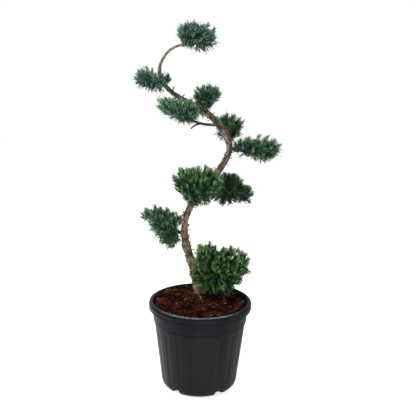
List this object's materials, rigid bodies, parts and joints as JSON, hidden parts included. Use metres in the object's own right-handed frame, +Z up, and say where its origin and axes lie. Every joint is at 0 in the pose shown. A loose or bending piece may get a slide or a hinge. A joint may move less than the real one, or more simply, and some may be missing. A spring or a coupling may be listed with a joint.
{
  "type": "spiral topiary",
  "caption": "Potted juniper with a bare trunk trained as an open spiral and its foliage clipped into separate pads, in a round plastic nursery pot.",
  "frame": {"origin": "centre of the pot's flat underside, on the ground", "axes": "+Z up, -Y towards the front, +X to the right seen from the front"},
  "size_m": [0.5604, 0.407, 1.4204],
  "materials": {
    "pot_plastic": "satin charcoal moulded plastic",
    "potting_mix": "damp dark bark chips",
    "bark": "fissured grey-brown bark",
    "juniper_foliage": "dense scale-leaf sprays"
  },
  "bodies": {
    "root": {"pot": "pot_plastic", "potting_mix": "potting_mix", "trunk_base": "bark", "trunk_lower_turn": "bark", "trunk_upper_turn": "bark", "trunk_leader": "bark", "bough_low_right": "bark", "bough_low_left": "bark", "bough_middle_front": "bark", "bough_middle_right": "bark", "bough_right": "bark", "bough_shoulder": "bark", "bough_upper_front": "bark", "bough_upper_right": "bark", "bough_upper_left": "bark", "foliage_low_right": "juniper_foliage", "foliage_low_left": "juniper_foliage", "foliage_middle_front": "juniper_foliage", "foliage_middle_right": "juniper_foliage", "foliage_right": "juniper_foliage", "foliage_shoulder": "juniper_foliage", "foliage_upper_front": "juniper_foliage", "foliage_upper_right": "juniper_foliage", "foliage_upper_left": "juniper_foliage", "foliage_top": "juniper_foliage", "foliage_upper_tuft": "juniper_foliage", "foliage_middle_tuft": "juniper_foliage", "foliage_lower_tuft": "juniper_foliage"}
  },
  "joints": []
}
